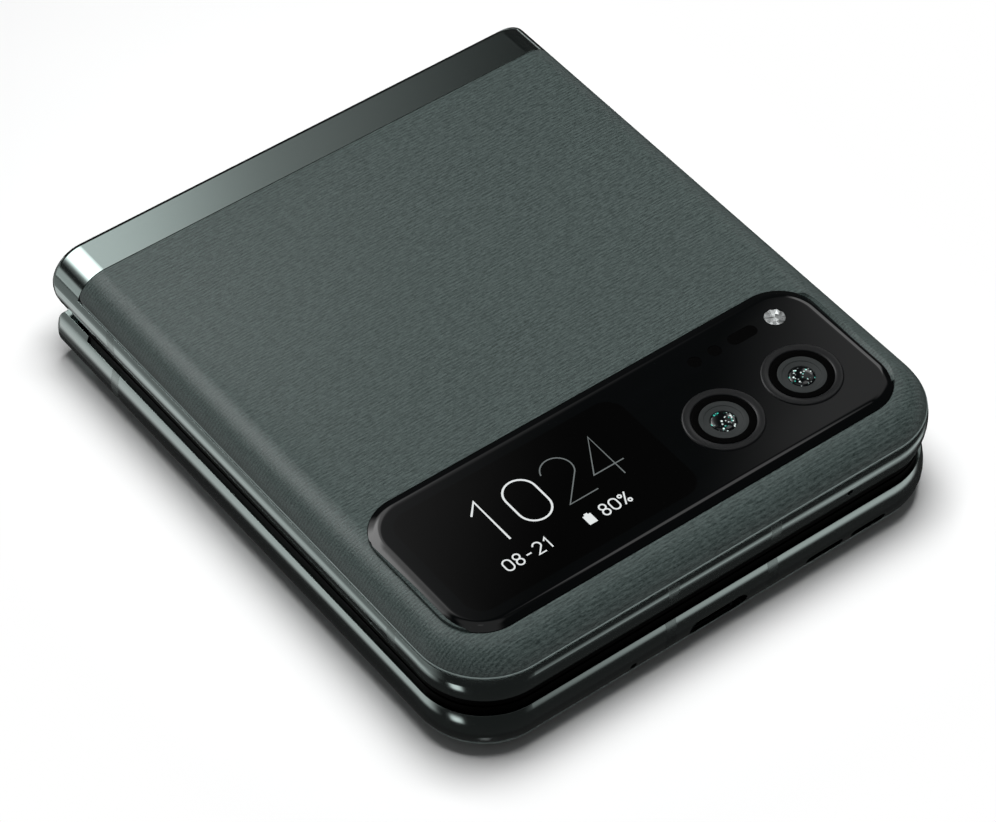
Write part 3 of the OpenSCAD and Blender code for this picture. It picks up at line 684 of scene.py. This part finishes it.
def lens_stack(name, centre_x, ring_node, lens_node):
    """A camera seen from outside: trim ring, black seat, grey cone and the small front lens."""
    seat_z = glass_z1 + 0.04
    foot_z = glass_z1 + 0.005
    ring_top = ring_z - 0.03
    seat_r = hole_r - 0.1
    cone_r = 3.0
    shelf_r = 2.4
    front_r = 1.6
    dome_z = seat_z - 0.4
    dome_h = 0.24
    dome_steps = 8
    ring = [
        (hole_r, glass_z0 + 0.01), (hole_r, foot_z), (ring_r, foot_z),
        (ring_r - 0.03, glass_z1 + 0.08), (ring_r - 0.12, ring_top - 0.02), (ring_r - 0.24, ring_top),
        (hole_r + 0.1, ring_top - 0.02), (hole_r - 0.03, ring_top - 0.08), (hole_r - 0.07, seat_z),
        (seat_r, glass_z0 + 0.01), (hole_r, glass_z0 + 0.01),
    ]
    seat = [
        (seat_r, glass_z0 + 0.02), (seat_r, seat_z), (seat_r - 0.1, seat_z + 0.03),
        (cone_r + 0.1, seat_z + 0.03), (cone_r, seat_z), (cone_r, glass_z0 + 0.02),
        (seat_r, glass_z0 + 0.02),
    ]
    cone = [
        (cone_r, glass_z0 + 0.05), (cone_r, seat_z - 0.04), (cone_r - 0.08, seat_z - 0.02),
        (shelf_r, seat_z - 0.14), (shelf_r - 0.04, seat_z - 0.2), (front_r + 0.12, seat_z - 0.3),
        (front_r + 0.06, seat_z - 0.36), (front_r + 0.02, glass_z0 + 0.05), (cone_r, glass_z0 + 0.05),
    ]
    dome = [(front_r, glass_z0 + 0.06), (front_r, dome_z)]
    for step in range(1, dome_steps + 1):
        angle = math.radians(90 * step / dome_steps)
        dome.append((front_r * math.cos(angle), dome_z + dome_h * math.sin(angle)))
    turned_piece(name + "_trim_ring", centre_x, ring, "ring_metal", ring_node, 50)
    turned_piece(name + "_black_seat", centre_x, seat, "dark_window")
    turned_piece(name + "_grey_cone", centre_x, cone, "lens_cone", sharp=35)
    turned_piece(name + "_front_lens", centre_x, dome, "lens_painted_glints", lens_node, segments=48)


lens_stack("main", main_x, "main_camera_ring", "main_lens")
lens_stack("wide", wide_x, "wide_camera_ring", "wide_lens")


def flash_reflector():
    """A faceted reflector: wedges that tilt in turn, so some catch the light and some don't."""
    mesh = bmesh.new()
    top = glass_z1 - 0.01
    wedges = 9
    rim_drop = 0.09
    facet_drop = 0.1
    rim = arc(flash_x, sensor_y, flash_r - 0.02, 0, 360, wedges * 2)[:-1]
    middle = arc(flash_x, sensor_y, flash_r * 0.5, 6, 366, wedges)[:-1]
    outer = []
    for index, (x, y) in enumerate(rim):
        outer.append(mesh.verts.new((x, y, top - rim_drop * (index % 2))))
    inner = []
    for index, (x, y) in enumerate(middle):
        inner.append(mesh.verts.new((x, y, top - 0.04 - facet_drop * (index % 2))))
    centre = mesh.verts.new((flash_x, sensor_y, top - 0.05))
    for index in range(wedges):
        after = (index + 1) % wedges
        rim_a, rim_b = outer[2 * index], outer[2 * index + 1]
        rim_c = outer[(2 * index + 2) % len(outer)]
        mesh.faces.new((rim_a, rim_b, inner[index]))
        mesh.faces.new((rim_b, rim_c, inner[index]))
        mesh.faces.new((rim_c, inner[after], inner[index]))
        mesh.faces.new((inner[index], inner[after], centre))
    floor = add_loop(mesh, [(x, y, glass_z0) for x, y in rim])
    join_loops(mesh, outer, floor)
    mesh.faces.new(floor)
    piece = make_piece("flash_reflector", mesh, "flash_mirror", "flip", smooth=False)
    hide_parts("flash_led")


flash_reflector()


# Figures on the cover display. Each is drawn one unit high
figure_low_z = glass_z1 - 0.01
figure_top_z = glass_z1 + 0.006
figure_strokes = {
    "0": [arc(0.3, 0.68, 0.3, 0, 180, 14) + arc(0.3, 0.32, 0.3, 180, 360, 14) + [(0.6, 0.68)]],
    "1": [[(0.08, 0.76), (0.3, 1.0), (0.3, 0.0)]],
    "2": [arc(0.3, 0.71, 0.29, 165, -35, 18) + [(0.02, 0.0), (0.6, 0.0)]],
    "4": [[(0.44, 0.0), (0.44, 1.0), (0.0, 0.27), (0.62, 0.27)]],
    "8": [arc(0.3, 0.76, 0.24, -90, 270, 20), arc(0.3, 0.26, 0.26, 90, 450, 20)],
    "-": [[(0.1, 0.45), (0.5, 0.45)]],
    "%": [arc(0.13, 0.82, 0.13, 0, 360, 12), arc(0.55, 0.18, 0.13, 0, 360, 12),
          [(0.08, 0.0), (0.6, 1.0)]],
}


def ribbon(mesh, points, width, low_z, high_z):
    """A thin raised stroke along points."""
    sides = []
    for index, point in enumerate(points):
        before = Vector(points[max(index - 1, 0)])
        after = Vector(points[min(index + 1, len(points) - 1)])
        here = Vector(point)
        into = (here - before).normalized() if index else (after - here).normalized()
        away = (after - here).normalized() if index < len(points) - 1 else into
        along = (into + away).normalized()
        across = Vector((-along.y, along.x)) * width / 2
        across /= max(along.dot(into), 0.5)
        sides.append((here + across, here - across))
    rows = []
    for left, right in sides:
        rows.append(add_loop(mesh, [(*left, low_z), (*left, high_z), (*right, high_z), (*right, low_z)]))
    for first, second in zip(rows, rows[1:]):
        join_loops(mesh, first, second)
    mesh.faces.new(rows[0])
    mesh.faces.new(rows[-1])


def write_figures(name, text, start_x, foot_y, height, pitch, width, finish):
    """Plain figures that lie on the glass and read along the hinge."""
    mesh = bmesh.new()
    for index, figure in enumerate(text):
        if figure == " ":
            continue
        for stroke in figure_strokes[figure]:
            points = [(start_x + index * pitch + x * height, foot_y + y * height) for x, y in stroke]
            ribbon(mesh, points, width, figure_low_z, figure_top_z)
    piece = make_piece(name, mesh, finish, "flip", smooth=False)


clock_y = front_y + 14.62
clock_h = 7.1
clock_pitch = 5.15
note_y = clock_y - 3.9
note_h = 1.75
note_pitch = 1.45
hour_x = -21.9
minute_x = -11.2
date_x = -22.9
charge_x = -8.9
write_figures("hour_figures", "10", hour_x, clock_y, clock_h, clock_pitch, 0.26, "bright_figures")
write_figures("minute_figures", "24", minute_x, clock_y, clock_h, clock_pitch, 0.16, "dim_figures")
write_figures("date_figures", "08-21", date_x, note_y, note_h, note_pitch, 0.2, "bright_figures")
write_figures("charge_figures", "80%", charge_x, note_y, note_h, note_pitch, 0.2, "bright_figures")


def battery_sign():
    """A small upright battery beside the charge: its can and the cap on top."""
    can_w = 1.15
    can_h = 1.5
    cap_w = 0.5
    cap_h = 0.25
    x = charge_x - 1.7
    mesh = bmesh.new()
    for foot, width, height in ((note_y, can_w, can_h), (note_y + can_h, cap_w, cap_h)):
        ribbon(mesh, [(x, foot), (x, foot + height)], width, figure_low_z, figure_top_z)
    make_piece("battery_sign", mesh, "bright_figures", "flip", smooth=False)


battery_sign()


# Folding display
def bent_display():
    """The bent length of the display, carried by the spine."""
    film_t = 0.4
    bend_steps = 24
    low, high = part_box("display_fold")
    middle_z = (low.z + high.z) / 2 / MM
    bend_y = low.y / MM
    outer_r = (high.z - low.z) / 2 / MM
    section = arc(bend_y, middle_z, outer_r, -90, 90, bend_steps)
    section += arc(bend_y, middle_z, outer_r - film_t, 90, -90, bend_steps)
    mesh = bmesh.new()
    rows = [add_loop(mesh, [(x, y, z) for y, z in section]) for x in (low.x / MM, high.x / MM)]
    join_loops(mesh, rows[0], rows[1])
    for row in rows:
        for index in range(bend_steps):
            other = len(section) - 2 - index
            mesh.faces.new((row[index], row[index + 1], row[other], row[other + 1]))
    piece = make_piece("bent_display", mesh, "bent_screen", "spine")
    piece.data.set_sharp_from_angle(angle=math.radians(40))
    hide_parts("display_fold")
    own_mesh(piece)


bent_display()


# Studio
def floor_plane():
    """Pale paper that keeps the phone's shadow and, for the camera, turns white farther away."""
    mesh = bmesh.new()
    reach = 3000.0
    paper_reach = 10
    white_from = 30
    opened_l = 90
    mesh.faces.new(add_loop(mesh, [(-reach, -reach, 0), (reach, -reach, 0), (reach, reach, 0),
                                   (-reach, reach, 0)]))
    bmesh.ops.scale(mesh, vec=(MM, MM, MM), verts=mesh.verts)
    data = bpy.data.meshes.new("studio_floor")
    mesh.to_mesh(data)
    mesh.free()
    floor = bpy.data.objects.new("studio_floor", data)
    floor.location.z = -0.02 * MM
    floor.visible_glossy = False
    bpy.context.scene.collection.objects.link(floor)

    def paint(start):
        point = place(start)
        soft = noise(start, point, 0.02)
        paper = start.node("ShaderNodeBsdfPrincipled", values={
            "Base Color": soft.mix(rgb(239, 240, 240), rgb(243, 243, 243)),
            "Roughness": 0.9, "Specular IOR Level": 0.0})
        x = start.node("ShaderNodeSeparateXYZ", values={0: point}, out="X")
        y = start.node("ShaderNodeSeparateXYZ", values={0: point}, out="Y")
        past_x = start.math("MAXIMUM", start.math("ABSOLUTE", x) - half_w, 0.0)
        past_front = start.math("MAXIMUM", front_y - y, 0.0)
        past_open = start.math("MAXIMUM", y - (end_y + opened_l), 0.0)
        past_y = past_front + past_open
        away = ((past_x * past_x + past_y * past_y) ** 0.5).between(paper_reach, white_from)
        seen = start.node("ShaderNodeLightPath", out="Is Camera Ray")
        white = start.node("ShaderNodeEmission", values={"Strength": 1.0})
        return start.node("ShaderNodeMixShader", values={0: away * seen, 1: paper, 2: white})

    data.materials.append(new_surface("pale_floor", paint))


def lamp(name, place_mm, aim_mm, size_mm, watts):
    """A soft rectangular lamp that gloss doesn't show."""
    data = bpy.data.lights.new(name, "AREA")
    data.shape = "RECTANGLE"
    data.size = size_mm[0] * MM
    data.size_y = size_mm[1] * MM
    data.energy = watts
    light = bpy.data.objects.new(name, data)
    light.location = Vector(place_mm) * MM
    aim = (Vector(aim_mm) - Vector(place_mm)).normalized()
    light.rotation_euler = aim.to_track_quat("-Z", "Y").to_euler()
    light.visible_glossy = False
    bpy.context.scene.collection.objects.link(light)
    return light


# Lit panels of the dark ceiling and the dark table that gloss and metal mirror: the span of
# azimuth and the width of its soft edge, the same for elevation, in degrees, and the level
ceiling_panels = [
    (-32, 4, 10, 41, 55, 8, 2.8),
    (-32, 18, 9, 34, 62, 8, 0.8),
    (-32, 18, 24, 34, 62, 8, 0.5),
    (56, 80, 8, 38, 50, 6, 0.42),
    (68, 84, 8, 60, 67, 4, 1.2),
    (54, 68, 4, 28, 37, 4, 1.6),
    (-80, -45, 15, 3, 14, 6, 0.8),
    (-180, 180, 1, 77, 90, 6, 0.35),
]
table_panels = [
    (-70, -28, 22, -40, -34, 10, 0.9),
    (-80, -24, 22, -26, -9, 8, 0.3),
    (118, 146, 24, -33, -30, 9, 0.9),
    (-113, -108, 8, -43, -38, 8, 1.7),
]
unlit_level = 0.03
card_r = 360
ceiling_low = 1.5
table_high = -1.5


def mirror_card(name, low, high, panels):
    """A dark cap round the phone, seen only in its gloss, with lit panels on it."""

    def paint(start):
        point = place(start, (1 / card_r, 1 / card_r, 1 / card_r))
        x, y, z = (start.node("ShaderNodeSeparateXYZ", values={0: point}, out=axis) for axis in "XYZ")
        azimuth = start.math("ARCTAN2", x, y) * (180 / math.pi)
        elevation = start.math("ARCSINE", z) * (180 / math.pi)
        level = unlit_level
        for az_0, az_1, az_soft, el_0, el_1, el_soft, share in panels:
            spot = azimuth.within(az_0, az_1, az_soft) * elevation.within(el_0, el_1, el_soft)
            level = level + spot * share
        return start.node("ShaderNodeEmission", values={"Strength": level})

    mesh = bmesh.new()
    bmesh.ops.create_uvsphere(mesh, u_segments=72, v_segments=90, radius=card_r * MM)
    rise = [math.sin(math.radians(limit)) * card_r * MM for limit in (low, high)]
    outside = [vertex for vertex in mesh.verts if not rise[0] <= vertex.co.z <= rise[1]]
    bmesh.ops.delete(mesh, geom=outside, context="VERTS")
    data = bpy.data.meshes.new(name)
    mesh.to_mesh(data)
    mesh.free()
    data.materials.append(new_surface(name, paint))
    data.materials[0].cycles.emission_sampling = "NONE"
    card = bpy.data.objects.new(name, data)
    bpy.context.scene.collection.objects.link(card)
    for kind in ("camera", "diffuse", "transmission", "volume_scatter", "shadow"):
        setattr(card, "visible_" + kind, False)


def studio_world():
    """White where the camera, gloss and clear glass look past the floor, and even light elsewhere."""
    world = bpy.data.worlds.new("studio")
    bpy.context.scene.world = world
    world.use_nodes = True
    tree = world.node_tree
    tree.nodes.clear()
    start = Wire(tree)
    seen = 0.0
    for kind in ("Is Camera Ray", "Is Glossy Ray", "Is Transmission Ray"):
        seen = start.math("MAXIMUM", seen, start.node("ShaderNodeLightPath", out=kind))
    strength = seen + (1 - seen) * ambient
    background = start.node("ShaderNodeBackground", values={"Color": (1, 1, 1, 1), "Strength": strength})
    start.node("ShaderNodeOutputWorld", values={"Surface": background})


def photo_camera():
    """The photograph's view: azimuth, elevation and distance about a point on the phone."""
    azimuth = math.radians(-37.24)
    elevation = math.radians(47.135)
    distance = 476.05
    target = Vector((-3.483, -5.699, 8.0))
    focal_px = 3912.98
    width_px = 996
    back = Vector((math.sin(azimuth) * math.cos(elevation),
                   -math.cos(azimuth) * math.cos(elevation), math.sin(elevation)))
    data = bpy.data.cameras.new("photo_camera")
    data.sensor_width = 36.0
    data.lens = focal_px / width_px * data.sensor_width
    data.clip_start = 0.01
    data.clip_end = 100.0
    camera = bpy.data.objects.new("photo_camera", data)
    camera.location = (target + back * distance) * MM
    camera.rotation_mode = "QUATERNION"
    camera.rotation_quaternion = (-back).to_track_quat("-Z", "Y")
    bpy.context.scene.collection.objects.link(camera)
    bpy.context.scene.camera = camera


ambient = 0.08
floor_plane()
lamp("overhead_softbox", (10, 7, 330), (0, 0, 0), (185, 185), 1.36)
mirror_card("dark_ceiling", ceiling_low, 90, ceiling_panels)
mirror_card("dark_table", -90, table_high, table_panels)
studio_world()
photo_camera()
bpy.context.scene.view_settings.view_transform = "Standard"
